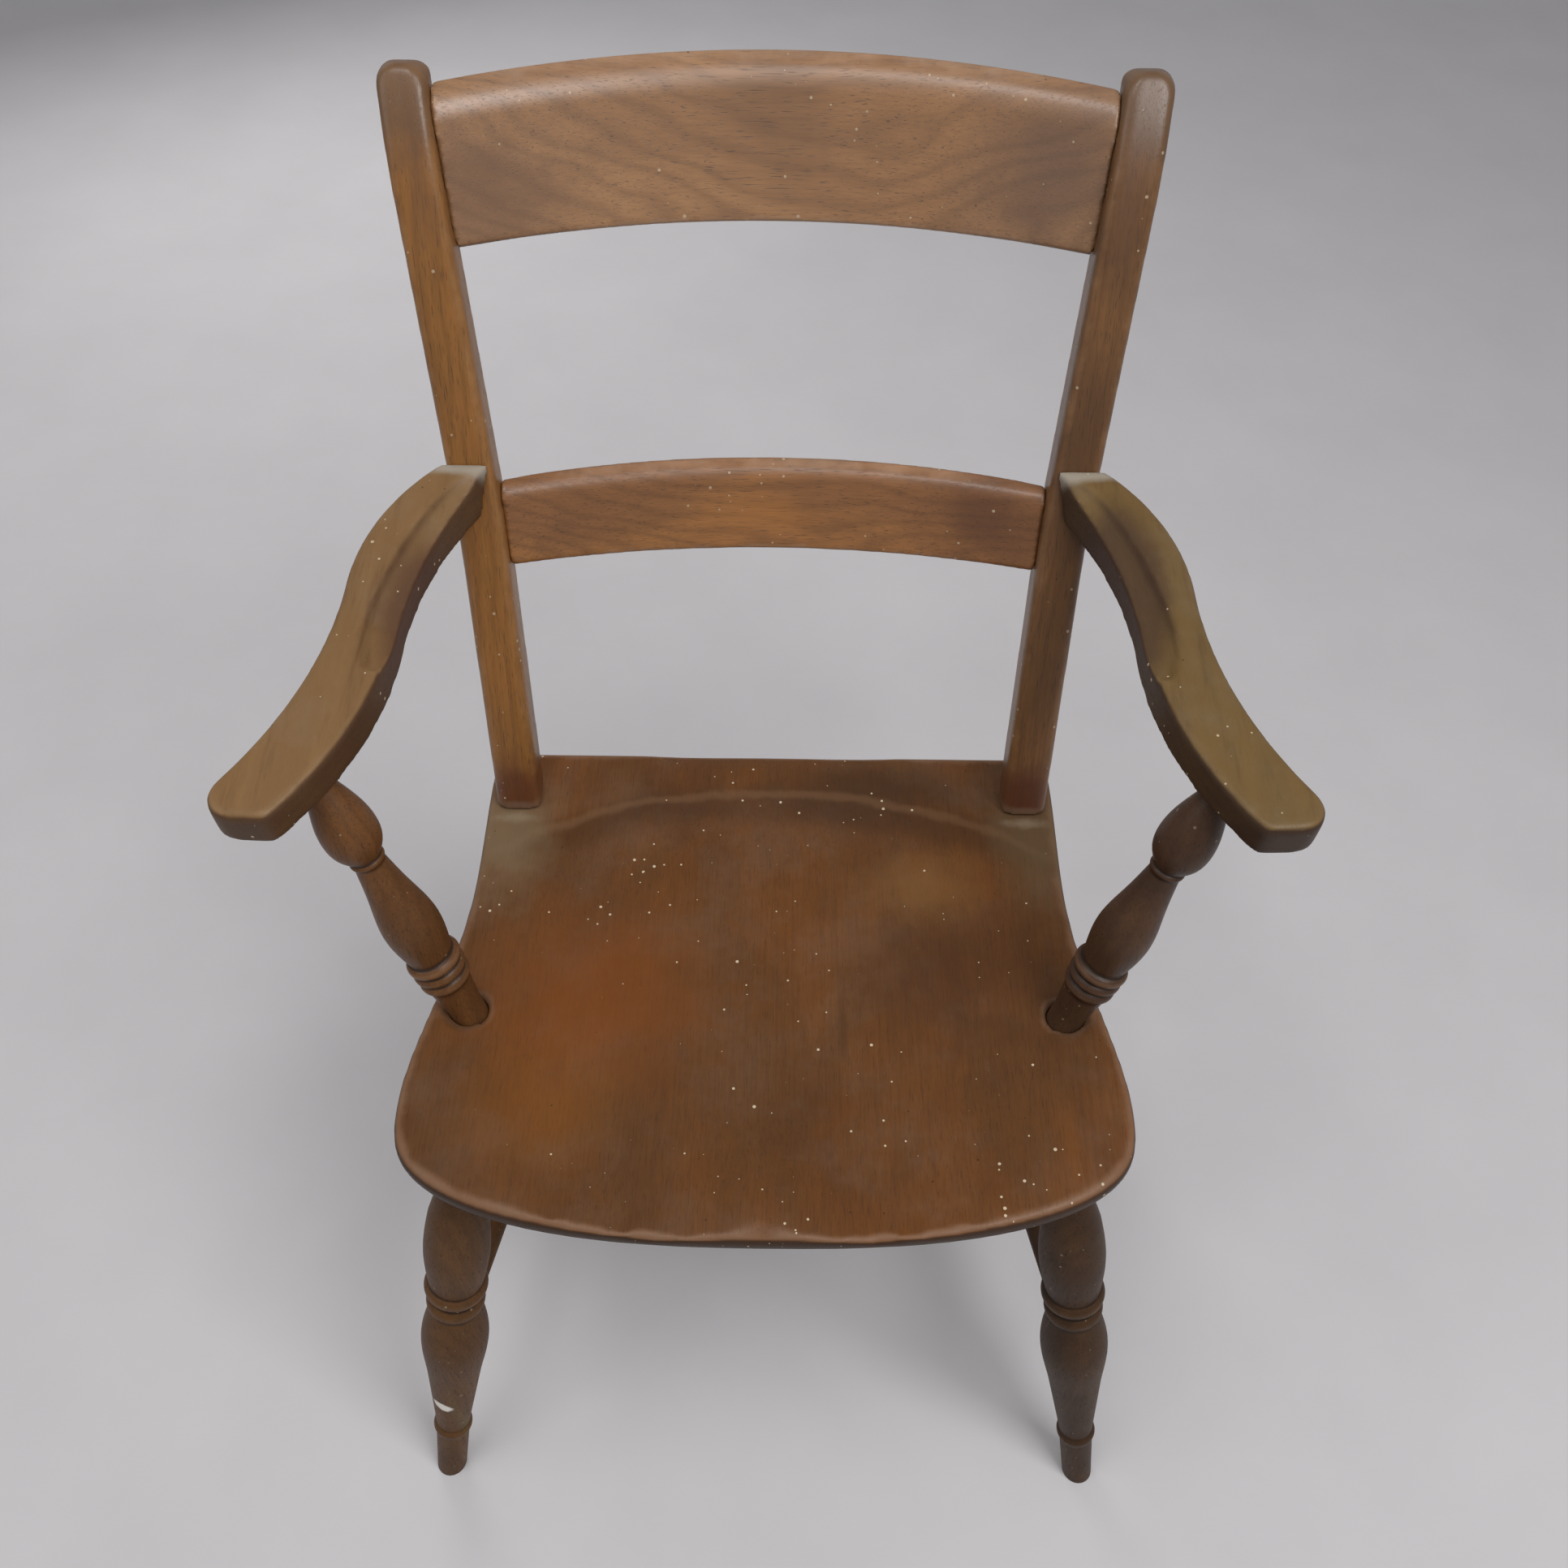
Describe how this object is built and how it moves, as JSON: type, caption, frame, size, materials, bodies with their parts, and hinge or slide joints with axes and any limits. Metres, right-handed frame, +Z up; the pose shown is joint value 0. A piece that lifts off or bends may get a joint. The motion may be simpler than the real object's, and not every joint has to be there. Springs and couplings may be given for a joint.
{
  "type": "windsor armchair",
  "caption": "Wooden bar-back Windsor armchair: saddle seat, raked posts with bowed crest and cross rails, shaped arms on turned supports, splayed turned legs with stretchers.",
  "frame": {"origin": "on the floor, under the middle of the chair's box", "axes": "+Z up, the chair faces -Y, +X to the right of someone who looks at its front"},
  "size_m": [0.6204, 0.585, 0.9003],
  "materials": {
    "seat": "worn varnish",
    "back": "worn varnish",
    "arms": "worn varnish",
    "turnings": "worn varnish",
    "pegs": "worn varnish",
    "screws": "plain steel"
  },
  "bodies": {
    "root": {"seat": "seat", "post_left": "back", "post_right": "back", "crest_rail": "back", "cross_rail": "back", "arm_left": "arms", "arm_right": "arms", "arm_support_left": "turnings", "arm_support_right": "turnings", "leg_front_left": "turnings", "leg_front_right": "turnings", "leg_rear_left": "turnings", "leg_rear_right": "turnings", "side_stretcher_left": "turnings", "side_stretcher_right": "turnings", "cross_stretcher": "turnings", "post_wedges": "pegs", "rail_pegs": "pegs", "screw_pellets": "pegs", "arm_screws": "screws"}
  },
  "joints": []
}
